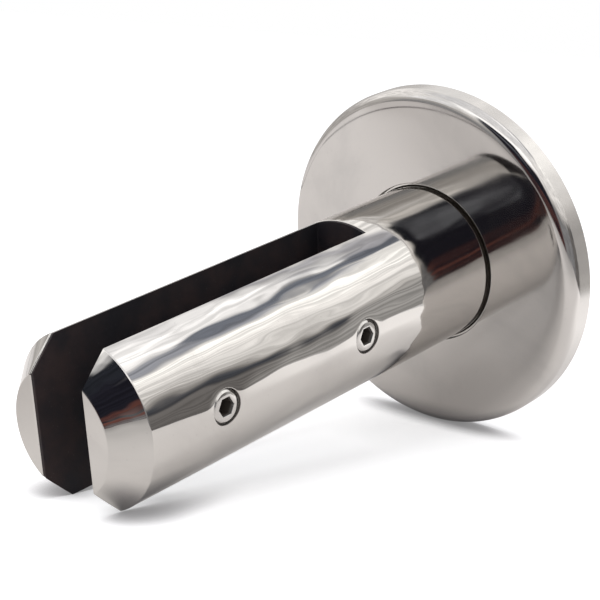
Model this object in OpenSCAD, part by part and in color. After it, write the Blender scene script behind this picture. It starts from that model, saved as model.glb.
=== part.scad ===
// Round glass spigot for a frameless balustrade: a slotted post on a bolted
// base plate, with a pressed cover over the plate.
// All sizes in millimetres. +Z runs up the post, the origin is the centre of
// the base plate's underside, the glass stands in the XZ plane and the grub
// screws are in the jaw on the -Y side.

/* [Post] */
// Diameter of the round post
post_d = 50; // [44:1:60]
// Height from the underside of the base plate to the flat end of the head
post_h = 165; // [150:1:200]
// Height of the cone that narrows the head
head_cone_h = 8.5; // [5:0.5:10]
// How far the cone brings the head's surface in, on the radius
head_cone_w = 7.5; // [4:0.5:9]
// Rounding of the cone's two edges
head_edge_r = 0.6; // [0.3:0.1:1]

/* [Glass slot] */
// Width of the slot between the two jaws
slot_w = 19; // [16:0.5:22]
// Depth of the slot from the end of the head
slot_depth = 115; // [100:1:125]
// Rounding where each jaw meets the slot's floor
slot_corner_r = 0.5; // [0.3:0.1:3]
// Width of the bevel along the jaws' slot edges
jaw_bevel = 0.8; // [0.4:0.1:1.2]

/* [Base plate] */
// Width of the base plate's flange outside the post
flange_w = 25; // [24:1:35]
// Thickness of the base plate
base_t = 9; // [8:0.5:12]
// Rounding of the base plate's edges
base_edge_r = 0.8; // [0.4:0.1:1.5]
// Number of anchor holes
anchor_count = 4; // [3:1:6]
// Diameter of the anchor holes
anchor_d = 10.5; // [8.5:0.5:11]
// Diameter of the countersinks at the top of the anchor holes
anchor_sink_d = 20; // [16:0.5:21]

/* [Cover] */
// Thickness of the cover's sheet
cover_t = 1.2; // [0.8:0.1:1.5]
// Outside radius of the cover's shoulder
shoulder_r = 4; // [2.5:0.5:5]
// Gap between the cover's hole and the post
cover_hole_gap = 0.9; // [0.8:0.1:2]
// Gap between the cover's skirt and the base plate's rim
skirt_gap = 4.3; // [4.2:0.1:6]
// Height of the skirt's edge above the base plate's underside
skirt_lift = 0.2; // [0.1:0.1:1]

/* [Grub screws] */
// Thread diameter of the grub screws
screw_d = 10; // [8:1:10]
// Radial gap between the screws and their holes
screw_gap = 0.05; // [0.02:0.01:0.1]
// Height of the lower screw above the slot's floor
screw_low = 20; // [19:1:26]
// Distance between the two screws
screw_pitch = 59; // [44:1:64]
// How far the screws' ends lie below the post's surface
screw_recess = 0.4; // [0:0.1:1]

/* [Clamp pieces] */
// Thickness of the pressure plate
plate_t = 2; // [1.5:0.1:3]
// Width of the pressure plate
plate_w = 34; // [24:1:34]
// How far the pressure plate reaches past each screw's axis
plate_margin = 16; // [10:1:17]
// Corner radius of the pressure plate
plate_corner_r = 4; // [2:0.5:6]
// Depth of the seats that take the screws' points
seat_depth = 0.5; // [0.3:0.1:0.8]
// Radial gap between the screws' points and their seats
seat_gap = 0.3; // [0.1:0.1:0.6]
// Thickness of the rubber pad on the pressure plate
pad_t = 3; // [2:0.5:3.5]
// Margin of bare plate left round the pad
pad_margin = 1; // [0.5:0.5:2]
// Thickness of the slot's rubber liner
liner_t = 1; // [0.8:0.1:1.5]
// How far the liner's edges stay inside the post's surface
liner_inset = 0.2; // [0.1:0.1:0.5]

/* [Hidden] */
$fn = 96;
// Steps in the rounded corners of the turned profiles
arc_steps = 6;
// Overrun that keeps cutting faces off the faces that they cut
over = 1;
// Thickness of the two outlines that a bevel is stretched between
skin = 0.01;

steel = [0.80, 0.80, 0.79];
plate_steel = [0.62, 0.62, 0.61];
screw_steel = [0.72, 0.71, 0.69];
liner_black = [0.09, 0.08, 0.085];
rubber_black = [0.06, 0.06, 0.06];

post_r = post_d / 2;
head_z = post_h - head_cone_h;
end_r = post_r - head_cone_w;
slot_y = slot_w / 2;
slot_z = post_h - slot_depth;

base_r = post_r + flange_w;
anchor_pcd = post_d + flange_w;
sink_h = (anchor_sink_d - anchor_d) / 2;

cover_top = base_t + cover_t;
cover_hole_r = post_r + cover_hole_gap;
cover_r = base_r + skirt_gap + cover_t;
// The foot's fillet stays inside the cover's hole
foot_fillet_r = cover_hole_gap / 2;

screw_hole_r = screw_d / 2 + screw_gap;
screw_l = post_r - slot_y - screw_recess + seat_depth;
screw_end_bevel = screw_d * 0.09;
screw_point_r = screw_d * 0.35;
// Metric grub screws take a key of half their thread diameter
socket_w = screw_d / 2;
socket_depth = screw_d / 2;
socket_bevel = screw_d * 0.01;
screw_low_z = slot_z + screw_low;
screw_high_z = screw_low_z + screw_pitch;

// The seats are as wide as the screws' beveled points at the seats' mouths
seat_r = screw_point_r + seat_depth + seat_gap;
plate_h = screw_pitch + 2 * plate_margin;
plate_z = (screw_low_z + screw_high_z) / 2;

function unit(v) = v / norm(v);

// Points that round the corner p, between its neighbours a and b
function rounded(a, p, b, r) =
    let (u = unit(a - p), v = unit(b - p), half = acos(u * v) / 2,
         centre = p + unit(u + v) * r / sin(half),
         first = p + u * r / tan(half) - centre,
         last = p + v * r / tan(half) - centre,
         sweep = 180 - 2 * half)
    [for (i = [0:arc_steps])
        let (t = sweep * i / arc_steps)
        centre + (first * sin(sweep - t) + last * sin(t)) / sin(sweep)];

// Half the post's width on a plane at distance y from its axis
function half_width(r, y) = sqrt(r * r - y * y);

// Places its children along Y, pointing into the post from the -Y side
module from_screw_side(z, y = 0) {
    translate([0, y, z]) rotate([-90, 0, 0]) children();
}

// Plate and post in one turned profile
module turned_body() {
    foot = [post_r, base_t];
    shoulder = [post_r, head_z];
    end_edge = [end_r, post_h];
    low_rim = [base_r, 0];
    high_rim = [base_r, base_t];
    rotate_extrude()
        polygon(concat(
            [[0, 0]],
            rounded([0, 0], low_rim, high_rim, base_edge_r),
            rounded(low_rim, high_rim, foot, base_edge_r),
            rounded(high_rim, foot, shoulder, foot_fillet_r),
            rounded(foot, shoulder, end_edge, head_edge_r),
            rounded(shoulder, end_edge, [0, post_h], head_edge_r),
            [[0, post_h]]));
}

// Space across the post from y0 to y1, open above z0, with its two bottom
// corners rounded by r
module channel(y0, y1, z0, r) {
    reach = post_r + over;
    top = post_h + over;
    translate([-reach, y0, z0 + r]) cube([2 * reach, y1 - y0, top - z0 - r]);
    translate([-reach, y0 + r, z0]) cube([2 * reach, y1 - y0 - 2 * r, top - z0]);
    for (y = [y0 + r, y1 - r])
        translate([-reach, y, z0 + r]) rotate([0, 90, 0]) cylinder(h = 2 * reach, r = r);
}

module glass_slot() {
    channel(-slot_y, slot_y, slot_z, slot_corner_r);
}

// Thin slab of a jaw's outline on the slot's plane, drawn in by inset
module jaw_outline(inset, y) {
    w = half_width(post_r, slot_y);
    w_end = half_width(end_r, slot_y);
    slope = atan((w - w_end) / head_cone_h);
    x_side = w - inset;
    x_end = w_end - inset * tan((90 - slope) / 2);
    z_side = head_z - inset * tan(slope / 2);
    translate([0, y, 0]) rotate([90, 0, 0])
        linear_extrude(skin, center = true)
            polygon([[-x_side, slot_z - over], [x_side, slot_z - over],
                     [x_side, z_side], [x_end, post_h - inset],
                     [-x_end, post_h - inset], [-x_side, z_side]]);
}

// What the bevel takes off the +Y jaw's edges
module jaw_edge_cut() {
    reach = post_r + over;
    difference() {
        translate([-reach, slot_y - skin, slot_z])
            cube([2 * reach, jaw_bevel, slot_depth + over]);
        hull() {
            jaw_outline(jaw_bevel, slot_y - skin);
            jaw_outline(0, slot_y + jaw_bevel);
        }
    }
}

module anchor_hole() {
    translate([0, 0, -over]) cylinder(h = base_t + 2 * over, d = anchor_d);
    translate([0, 0, base_t - sink_h])
        cylinder(h = sink_h + over, d1 = anchor_d, d2 = anchor_sink_d + 2 * over);
}

module spigot_body() {
    color(steel)
    difference() {
        turned_body();
        glass_slot();
        jaw_edge_cut();
        mirror([0, 1, 0]) jaw_edge_cut();
        for (z = [screw_low_z, screw_high_z])
            from_screw_side(z, -post_r - over) cylinder(h = post_r + over, r = screw_hole_r);
        for (i = [0:anchor_count - 1])
            rotate((i + 0.5) * 360 / anchor_count) translate([anchor_pcd / 2, 0, 0])
                anchor_hole();
    }
}

// Pressed sheet: flat face on the base plate, rounded shoulder, plain skirt
module base_cover() {
    inner_r = cover_r - cover_t;
    lip = cover_t / 4;
    hole_edge = [cover_hole_r, cover_top];
    corner = [cover_r, cover_top];
    skirt_edge = [cover_r, skirt_lift];
    inner_corner = [inner_r, base_t];
    color(steel)
    rotate_extrude()
        polygon(concat(
            [[cover_hole_r, base_t]],
            rounded([cover_hole_r, base_t], hole_edge, corner, lip),
            rounded(hole_edge, corner, skirt_edge, shoulder_r),
            rounded(corner, skirt_edge, [inner_r, skirt_lift], lip),
            [[inner_r, skirt_lift]],
            rounded([inner_r, skirt_lift], inner_corner, [cover_hole_r, base_t],
                    shoulder_r - cover_t)));
}

// Post's solid drawn in on every side, which trims the liner
module post_inside(inset) {
    rotate_extrude()
        polygon([[0, base_t], [post_r - inset, base_t], [post_r - inset, head_z],
                 [end_r - inset, post_h - inset], [0, post_h - inset]]);
}

// Rubber sheet on the slot's floor and on the fixed jaw at +Y
module slot_liner() {
    color(liner_black)
    intersection() {
        post_inside(liner_inset);
        difference() {
            glass_slot();
            channel(-slot_y - slot_corner_r, slot_y - liner_t, slot_z + liner_t,
                    slot_corner_r);
        }
    }
}

// Plate lying in XZ, from y = 0 to y = t, with round corners
module round_plate(w, h, t, r) {
    translate([-w / 2 + r, 0, -h / 2]) cube([w - 2 * r, t, h]);
    translate([-w / 2, 0, -h / 2 + r]) cube([w, t, h - 2 * r]);
    for (x = [-1, 1], z = [-1, 1])
        translate([x * (w / 2 - r), 0, z * (h / 2 - r)])
            rotate([-90, 0, 0]) cylinder(h = t, r = r);
}

// Lies on the screw jaw until the screws push it away
module pressure_plate() {
    color(plate_steel)
    difference() {
        translate([0, -slot_y, plate_z]) round_plate(plate_w, plate_h, plate_t, plate_corner_r);
        for (z = [screw_low_z, screw_high_z])
            from_screw_side(z, -slot_y - over)
                cylinder(h = over + seat_depth, r = seat_r);
    }
}

module pressure_pad() {
    color(rubber_black)
    translate([0, -slot_y + plate_t, plate_z])
        round_plate(plate_w - 2 * pad_margin, plate_h - 2 * pad_margin, pad_t,
                    plate_corner_r - pad_margin);
}

// Flat-pointed grub screw with its socket end at the origin, along +Z
module grub_screw() {
    r = screw_d / 2;
    point_bevel = r - screw_point_r;
    socket_corner_r = socket_w / sqrt(3);
    color(screw_steel)
    difference() {
        rotate_extrude()
            polygon([[0, 0], [r - screw_end_bevel, 0], [r, screw_end_bevel],
                     [r, screw_l - point_bevel], [screw_point_r, screw_l], [0, screw_l]]);
        translate([0, 0, -over]) rotate(30)
            cylinder(h = socket_depth + over, r = socket_corner_r, $fn = 6);
        translate([0, 0, socket_depth])
            cylinder(h = socket_w / 2 * tan(30), r1 = socket_w / 2, r2 = 0);
        translate([0, 0, -over])
            cylinder(h = over + socket_bevel, r1 = socket_corner_r + over, r2 = socket_corner_r - socket_bevel);
    }
}

module grub_screw_upper() {
    from_screw_side(screw_high_z, -post_r + screw_recess) grub_screw();
}

module grub_screw_lower() {
    from_screw_side(screw_low_z, -post_r + screw_recess) grub_screw();
}

spigot_body();
base_cover();
slot_liner();
pressure_plate();
pressure_pad();
grub_screw_upper();
grub_screw_lower();
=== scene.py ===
"""Round glass spigot, mirror polished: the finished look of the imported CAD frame.

The CAD gives every place and size. The pieces below are the same forms as the CAD nodes they
stand for, worked out as smooth surfaces with their true normals, so that a polished surface
mirrors its surroundings without facets.
"""

import logging
import math
from dataclasses import dataclass, field
from enum import Enum

import bpy
import numpy as np
from mathutils import Matrix, Vector


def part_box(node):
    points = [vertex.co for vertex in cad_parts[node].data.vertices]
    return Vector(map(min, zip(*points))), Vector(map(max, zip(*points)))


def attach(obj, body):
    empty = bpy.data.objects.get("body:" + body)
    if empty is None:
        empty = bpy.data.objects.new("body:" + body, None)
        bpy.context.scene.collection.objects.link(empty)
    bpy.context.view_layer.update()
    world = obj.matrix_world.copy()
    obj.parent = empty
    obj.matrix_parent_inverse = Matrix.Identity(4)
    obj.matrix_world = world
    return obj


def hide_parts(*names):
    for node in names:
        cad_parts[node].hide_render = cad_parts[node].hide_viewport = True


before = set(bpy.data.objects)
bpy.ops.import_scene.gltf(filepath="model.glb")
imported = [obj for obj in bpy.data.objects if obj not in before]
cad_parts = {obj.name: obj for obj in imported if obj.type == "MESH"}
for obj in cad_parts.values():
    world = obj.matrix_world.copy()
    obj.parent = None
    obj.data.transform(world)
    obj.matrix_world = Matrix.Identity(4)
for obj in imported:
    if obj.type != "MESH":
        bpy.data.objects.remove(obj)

LOG = logging.getLogger("spigot")
MM = 0.001
Pair = tuple[np.ndarray, np.ndarray]
Colour = tuple[float, float, float]
Span = tuple[float, float]
UP = np.array([0, 0, 1.0])
DOWN = np.array([0, 0, -1.0])

# Columns and rows that neighbouring grids share, so that their edges weld
SCREW_COLUMNS = 17  # across a screw's window, and up it
WING_COLUMNS = 16  # from the window to a jaw's edge
FLOOR_COLUMNS = 13  # across the slot's floor, from jaw to jaw
NARROW = np.linspace(0, 1, 4)  # across a bevel
SPREAD = np.array([0, 0.3, 0.65, 1])  # from a hole to the border round it
WELDS = 1e4  # places in a mm that points are welded to


# ---------------------------------------------------------------- surfaces


def unit(v: np.ndarray) -> np.ndarray:
    """Vectors along the last axis brought to length one; a null vector stays null."""
    return v / np.maximum(np.linalg.norm(v, axis=-1, keepdims=True), 1e-12)


def ease(x: np.ndarray, a: float, b: float) -> np.ndarray:
    """Smooth step of x from 0 at a to 1 at b: t^2 (3 - 2 t), with t = (x - a) / (b - a)."""
    t = np.clip((x - a) / (b - a), 0.0, 1.0)
    return t * t * (3.0 - 2.0 * t)


def steps(*stops: float, pitch: float, rounding: float = 1e-9) -> np.ndarray:
    """Values in even steps from each stop to the next.

    Args:
        stops: increasing or decreasing values.
        pitch: longest step.
        rounding: part of a step that is too small to ask for one step more.

    Returns:
        The values, the stops among them.
    """
    parts = [
        np.linspace(a, b, max(1, math.ceil(abs(b - a) / pitch - rounding)) + 1)[:-1]
        for a, b in zip(stops, stops[1:])
    ]
    return np.concatenate([*parts, [stops[-1]]])


def outline(corners: list[tuple[float, float, float]], pitch: float, arc: int = 8) -> Pair:
    """A line through corners in a plane, with rounded corners.

    A straight run from p to q has the unit direction (q - p) / |q - p| and the normal on its
    right. A corner of radius r is an arc that touches both runs, on which the normal turns
    evenly from one run's to the next's. A corner of radius 0 is there twice, once with each
    normal, so that it stays sharp.

    Args:
        corners: (first coordinate, second coordinate, radius) of each corner, in mm.
        pitch: longest step along a straight run, in mm.
        arc: number of steps in a rounded corner.

    Returns:
        The points and their normals, each (n, 2).
    """
    spot = np.array([c[:2] for c in corners], float)
    turn = [c[2] for c in corners]
    run = unit(np.diff(spot, axis=0))
    side = np.stack([run[:, 1], -run[:, 0]], 1)
    points, normals = [spot[:1]], [side[:1]]
    for i in range(1, len(spot)):
        start = points[-1][-1]
        if i == len(spot) - 1 or turn[i] == 0:
            stop = spot[i]
        else:
            swing = math.acos(float(np.clip(run[i - 1] @ run[i], -1, 1)))
            stop = spot[i] - run[i - 1] * turn[i] * math.tan(swing / 2)
        count = max(1, math.ceil(np.linalg.norm(stop - start) / pitch))
        t = np.linspace(0, 1, count + 1)[1:, None]
        points.append(start + (stop - start) * t)
        normals.append(np.repeat(side[i - 1 : i], count, 0))
        if i == len(spot) - 1:
            break
        if turn[i] == 0:
            points.append(spot[i : i + 1])
            normals.append(side[i : i + 1])
            continue
        left = run[i - 1][0] * run[i][1] - run[i - 1][1] * run[i][0] > 0
        sign = 1.0 if left else -1.0
        a = sign * swing * np.linspace(0, 1, arc + 1)[1:]
        c, s = np.cos(a), np.sin(a)
        u, v = side[i - 1]
        n = np.stack([u * c - v * s, u * s + v * c], 1)
        points.append(stop - sign * turn[i] * side[i - 1] + sign * turn[i] * n)
        normals.append(n)
    return np.concatenate(points), np.concatenate(normals)


def turned(profile: Pair, angle: np.ndarray) -> Pair:
    """A profile carried round the Z axis: (r cos a, r sin a, z), and its normals the same way.

    Args:
        profile: the profile's points (r, z) and their normals.
        angle: the angle of each column.

    Returns:
        The grid's points and their normals, with a row for each point of the profile.
    """
    c, s = np.cos(angle), np.sin(angle)
    grid, normal = (places(v[:, :1] * c, v[:, :1] * s, v[:, 1:]) for v in profile)
    return grid, normal


def between(a: np.ndarray, b: np.ndarray, t: np.ndarray) -> np.ndarray:
    """Rows of points from line a to line b: row i is a + (b - a) t[i]."""
    return a[None] + (b - a)[None] * np.asarray(t)[:, None, None]


def slopes(grid: np.ndarray, wrap: bool = False) -> np.ndarray:
    """Normals of a grid: the cross product of its two directions' differences.

    Args:
        grid: points, (rows, columns, 3).
        wrap: True where the last column joins the first.

    Returns:
        Unit normals of the same shape, all on the one side of the grid.
    """
    g = np.concatenate([grid[:, -1:], grid, grid[:, :1]], 1) if wrap else grid
    n = np.cross(np.gradient(g, axis=0), np.gradient(g, axis=1))
    return unit(n[:, 1:-1] if wrap else n)


def places(x: np.ndarray, y: np.ndarray, z: np.ndarray) -> np.ndarray:
    """Points from their three coordinates, each an array or a number."""
    return np.stack(np.broadcast_arrays(x, y, z), -1)


def lifted(flat: np.ndarray, z: float) -> np.ndarray:
    """Places (x, y) given the height z."""
    return np.concatenate([flat, np.full((*flat.shape[:-1], 1), z)], -1)


def softened(a: np.ndarray, b: np.ndarray, t: np.ndarray) -> np.ndarray:
    """Normals across a narrow bevel: a (1.25 - t) + b (0.25 + t) made a unit, for t from 0 to 1."""
    t = t[:, None, None]
    return unit(a[None] * (1.25 - t) + b[None] * (0.25 + t))


def quads(index: np.ndarray) -> np.ndarray:
    """The four corners of each cell of a grid of vertex numbers."""
    return np.stack([index[:-1, :-1], index[1:, :-1], index[1:, 1:], index[:-1, 1:]], -1)


class Shell:
    """Gathers grids of points, in mm, into one closed mesh that keeps each grid's own normals."""

    def __init__(self, name: str) -> None:
        """Starts an empty shell.

        Args:
            name: the piece's name.
        """
        self.name = name
        self.points: list[np.ndarray] = []
        self.normals: list[np.ndarray] = []
        self.quads: list[np.ndarray] = []
        self.count = 0

    def add(
        self,
        grid: np.ndarray,
        normal: np.ndarray,
        wrap: bool = False,
        holes: np.ndarray | None = None,
    ) -> None:
        """Adds a grid of points.

        Args:
            grid: points, (rows, columns, 3).
            normal: outward normals that broadcast to the same shape.
            wrap: True where the last column joins the first.
            holes: (rows - 1, columns - 1) mask of the cells that are left out.
        """
        rows, cols = grid.shape[:2]
        index = np.arange(rows * cols).reshape(rows, cols) + self.count
        if wrap:
            index = np.concatenate([index, index[:, :1]], 1)
        quad = quads(index)
        self.quads.append(quad.reshape(-1, 4) if holes is None else quad[~holes])
        self.points.append(grid.reshape(-1, 3))
        self.normals.append(np.broadcast_to(normal, grid.shape).reshape(-1, 3))
        self.count += rows * cols

    def piece(self, material: bpy.types.Material) -> bpy.types.Object:
        """Welds the grids, turns every face outwards and makes the object.

        Points closer than a tenth of a micrometre are one vertex. A face whose own normal,
        the cross product of its diagonals, points against its corners' normals is turned
        over, and one that has shrunk to a line is left out.

        Args:
            material: the piece's finish.

        Returns:
            The object, in metres.
        """
        p, n = np.concatenate(self.points), np.concatenate(self.normals)
        q = np.concatenate(self.quads)
        face = np.cross(p[q[:, 2]] - p[q[:, 0]], p[q[:, 3]] - p[q[:, 1]])
        against = (face * n[q].sum(1)).sum(1) < 0
        q[against] = q[against][:, ::-1]
        key = np.round(p * WELDS).astype(np.int64)
        _, first, where = np.unique(key, axis=0, return_index=True, return_inverse=True)
        w = where.reshape(-1)[q]
        same = w == np.roll(w, -1, 1)
        whole, three = same.sum(1) == 0, same.sum(1) == 1
        kept = ~same[three]
        w3, q3 = w[three][kept].reshape(-1, 3), q[three][kept].reshape(-1, 3)
        good = (w3[:, 0] != w3[:, 1]) & (w3[:, 1] != w3[:, 2]) & (w3[:, 0] != w3[:, 2])
        w3, q3 = w3[good], q3[good]
        whole &= (w[:, 0] != w[:, 2]) & (w[:, 1] != w[:, 3])
        faces = w[whole].tolist() + w3.tolist()
        corner = np.concatenate([n[q[whole]].reshape(-1, 3), n[q3].reshape(-1, 3)])
        mesh = bpy.data.meshes.new(self.name)
        mesh.from_pydata((p[first] * MM).tolist(), [], faces)
        mesh.polygons.foreach_set("use_smooth", np.ones(len(faces), bool))
        mesh.normals_split_custom_set(unit(corner).tolist())
        mesh.materials.append(material)
        mesh.update()
        obj = bpy.data.objects.new(self.name, mesh)
        bpy.context.scene.collection.objects.link(obj)
        loose = self.open_edges(w[whole], w3)
        LOG.info("%s: %d faces, %d open edges", self.name, len(faces), loose)
        return obj

    @staticmethod
    def open_edges(four: np.ndarray, three: np.ndarray) -> int:
        """Counts the edges that don't have exactly two faces.

        Args:
            four: the vertices of each face with four corners.
            three: the vertices of each face with three.

        Returns:
            Their number, 0 for a closed mesh.
        """
        edges = [np.stack([f, np.roll(f, -1, 1)], -1).reshape(-1, 2) for f in (four, three)]
        _, times = np.unique(np.sort(np.concatenate(edges), 1), axis=0, return_counts=True)
        return int((times != 2).sum())


def paint(obj: bpy.types.Object, name: str, share: np.ndarray) -> None:
    """Gives each vertex a share from 0 to 1, as a named attribute that the finishes read."""
    values = obj.data.attributes.new(name, "FLOAT", "POINT").data
    values.foreach_set("value", np.clip(share, 0, 1).astype(np.float32))


def vectors(items: bpy.types.bpy_prop_collection, name: str) -> np.ndarray:
    """Reads a vector that each item of a mesh has.

    Args:
        items: the mesh's vertices or vertex normals.
        name: the vector's name.

    Returns:
        The vectors, (n, 3).
    """
    flat = np.empty(3 * len(items))
    items.foreach_get(name, flat)
    return flat.reshape(-1, 3)


def spots(obj: bpy.types.Object) -> np.ndarray:
    """The mesh's vertices in mm."""
    return vectors(obj.data.vertices, "co") / MM


def settle(obj: bpy.types.Object, body: str, node: str) -> None:
    """Puts a finished piece on its CAD body, in place of its CAD node, and says how well it fits.

    Args:
        obj: the finished piece.
        body: the body that it rides on.
        node: the CAD node that it replaces.
    """
    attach(obj, body)
    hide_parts(node)
    co = spots(obj) * MM
    shown, solid = np.array([co.min(0), co.max(0)]), np.array(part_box(node))
    off = np.abs(shown - solid).max() / MM
    LOG.info("%s stands for %s, %.3f mm from its box", obj.name, node, off)

# ---------------------------------------------------------------- the spigot's pieces


@dataclass
class Post:
    """The slotted post and its base plate: one turned body with the glass slot cut across it.

    The lengths are in mm. The ring of columns round the Z axis is shared by the plate, the foot
    and the post, and its front, back and two side parts go on as the jaws and the slot's floor.
    """

    radius: float = 25.0
    cone_h: float = 8.5
    cone_w: float = 7.5
    edge_r: float = 0.6
    neck_run: float = 4.0  # the straight run below the cone that has the head's bevel
    edge_run: float = 0.271  # what a rounded edge takes of the head's flat end
    slot_half: float = 9.5
    slot_depth: float = 115.0
    corner_r: float = 0.5
    bevel: float = 0.56
    bevel_low: float = 0.25
    plate_t: float = 9.0
    plate_edge_r: float = 0.8
    hub_r: float = 20.0  # the plain middle of the underside
    foot_r: float = 0.45
    anchor_ring: float = 37.5
    anchor_r: float = 5.25
    sink_r: float = 10.0
    screw_r: float = 5.05
    lip_r: float = 0.25
    dent: float = 0.07
    thread_pitch: float = 1.5
    thread_depth: float = 0.28
    thread_fade: float = 0.06  # the part of the bore over which the thread runs out
    window: float = 8.0  # half the square round a screw's hole
    end_level: float = 0.7  # how level the turned end under the slot is
    end_fade: float = 16.0  # the height over which it becomes so
    bore_rows: int = 84
    height: float = field(init=False)
    plate_r: float = field(init=False)
    screw_z: list[float] = field(init=False)

    def __post_init__(self) -> None:
        """Reads the height, the plate's radius and the screws' places from the CAD's boxes."""
        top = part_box("spigot_body")[1]
        self.height, self.plate_r = top.z / MM, top.x / MM
        ends = [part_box(n) for n in ("grub_screw_lower", "grub_screw_upper")]
        self.screw_z = [(a.z + b.z) / 2 / MM for a, b in ends]

    @property
    def floor(self) -> float:
        """Height of the slot's floor."""
        return self.height - self.slot_depth

    def across(self, reach: np.ndarray, inner: np.ndarray) -> np.ndarray:
        """Columns from -reach to reach, evenly on both sides of the inner ones.

        Args:
            reach: where each row ends.
            inner: the columns beside a screw, which are the same in every row.

        Returns:
            The columns' places, one row for each reach.
        """
        t = np.linspace(0, 1, WING_COLUMNS + 1)[1:]
        reach = np.atleast_1d(reach)[:, None]
        right = inner[-1] + (reach - inner[-1]) * t
        middle = np.broadcast_to(inner, (len(reach), len(inner)))
        return np.concatenate([-right[:, ::-1], middle, right], 1)

    def rows(self) -> dict[str, np.ndarray]:
        """Rows of one jaw from the slot's floor to the end of the head.

        Each row has the radius r, height z and normal (nr, nz) of the turned surface, the edge
        (x, y, z) where that surface meets the bevel, and the edge (xi, yi, zi) where the bevel
        meets the slot's wall. In the corner, y = c + R sin a and z = f - R cos a for both edges,
        with R the corner's radius, and that plus the bevel. Above it, the inner edge is the
        outer one moved by the bevel against the outline's normal, (nr x, nz r) made a unit.
        The bevel widens smoothly from the slot's floor to the head's cone.

        Returns:
            Those values by name, and two directions: (ox, oz), the outline's normal, and
            (my, mz), from the slot into its wall.
        """
        c, wide = self.slot_half - self.corner_r, self.corner_r + self.bevel_low
        neck, end = self.height - self.cone_h, self.radius - self.cone_w
        a = np.linspace(0, math.pi / 2, 8)
        head, lean = outline(
            [
                (self.radius, neck - self.neck_run, 0),
                (self.radius, neck, self.edge_r),
                (end, self.height, self.edge_r),
                (end - self.edge_run, self.height, 0),
            ],
            pitch=2.0,
        )
        w, low, top = self.window, self.floor + self.corner_r, head[0, 1]
        ends = [low, *(z + w for z in self.screw_z)]
        starts = [*(z - w for z in self.screw_z), top]
        free = [steps(p, q, pitch=6.0)[:-1] for p, q in zip(ends, starts)]
        tight = [np.linspace(z - w, z + w, SCREW_COLUMNS)[:-1] for z in self.screw_z]
        straight = np.sort(np.concatenate([*free, *tight]))[1:]
        turned_rows, upright_rows = len(a) + len(straight), len(straight) + len(head)
        r = np.concatenate([np.full(turned_rows, self.radius), head[:, 0]])
        nr = np.concatenate([np.ones(turned_rows), lean[:, 0]])
        nz = np.concatenate([np.zeros(turned_rows), lean[:, 1]])
        my = np.concatenate([np.sin(a), np.ones(upright_rows)])
        mz = np.concatenate([-np.cos(a), np.zeros(upright_rows)])
        z = np.concatenate([low - wide * np.cos(a), straight, head[:, 1]])
        zi = np.concatenate([low - self.corner_r * np.cos(a), straight, head[:, 1]])
        b = self.bevel_low + (self.bevel - self.bevel_low) * ease(zi, low, top)
        y = np.concatenate([c + wide * np.sin(a), self.slot_half + b[len(a) :]])
        yi = np.concatenate([c + self.corner_r * np.sin(a), np.full(upright_rows, self.slot_half)])
        x = np.sqrt(r**2 - y**2)
        ox, oz = unit(np.stack([nr * x, nz * r], 1)).T
        xi, zi = x - b * ox, zi - b * oz
        surface = {"r": r, "z": z, "nr": nr, "nz": nz}
        edges = {"x": x, "y": y, "xi": xi, "yi": yi, "zi": zi}
        return {**surface, **edges, "ox": ox, "oz": oz, "my": my, "mz": mz}

    def ring(self) -> np.ndarray:
        """The shared columns round the Z axis.

        Returns:
            Their angles: the front jaw, the slot's +X side, the back jaw and its -X side.
        """
        c = self.slot_half - self.corner_r
        jaw = self.across(math.acos(c / self.radius), self.inner_angles())[0]
        side = np.arcsin(np.linspace(-c, c, FLOOR_COLUMNS)[1:-1] / self.radius)
        half = math.pi / 2
        return np.concatenate([jaw - half, side, jaw + half, side + math.pi])

    def inner_angles(self) -> np.ndarray:
        """Angles on the post of the columns beside a screw: the inverse sine of x / radius."""
        return np.arcsin(self.inner_places() / self.radius)

    def inner_places(self) -> np.ndarray:
        """The x of the columns beside a screw, evenly from one side of its window to the other."""
        return np.linspace(-self.window, self.window, SCREW_COLUMNS)

    def screw_window(self) -> np.ndarray:
        """The window's border.

        Returns:
            A closed loop of (x, z) round the screw's axis.
        """
        e, w = self.inner_places()[:-1], self.window
        k = np.full(len(e), w)
        return np.concatenate([np.stack(p, 1) for p in ((e, -k), (k, e), (-e, k), (-k, -e))])

    def plate(self, shell: Shell, ring: np.ndarray) -> None:
        """Base plate: rounded rim, underside, top, and the anchor holes with their countersinks.

        Each quarter of the top and of the underside is the ruled surface from the hole's circle
        to the quarter's border, c + (b - c) t, with each circle point in its border point's
        direction from the hole's axis.

        Args:
            shell: the body that it is added to.
            ring: angles of the shared columns.
        """
        r, t, e = self.plate_r, self.plate_t, self.plate_edge_r
        rim = outline([(r - e, 0, 0), (r, 0, e), (r, t, e), (r - e, t, 0)], pitch=4.0)
        shell.add(*turned(rim, ring), wrap=True)
        hub = np.array([[0, 0], [self.hub_r / 2, 0], [self.hub_r, 0]])
        shell.add(turned((hub, np.zeros((3, 2))), ring)[0], DOWN, wrap=True)
        middle, count = WING_COLUMNS + SCREW_COLUMNS // 2, len(ring) // 4
        for quarter in range(4):
            start = middle + quarter * count
            a = np.take(ring, np.arange(start, start + count + 1), mode="wrap")
            mid = -math.pi / 4 + quarter * math.pi / 2
            hole = self.anchor_ring * np.array([math.cos(mid), math.sin(mid)])
            arm = np.stack([np.cos(a), np.sin(a)], 1)
            borders = []
            for near in (self.radius + self.foot_r, self.hub_r):
                s = np.linspace(near, r - e, 9)[:, None]
                sides = [arm[:-1] * near, arm[-1] * s[:-1], arm[:0:-1] * (r - e), arm[0] * s[:0:-1]]
                borders.append(np.concatenate(sides))
            above, below = borders
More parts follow.
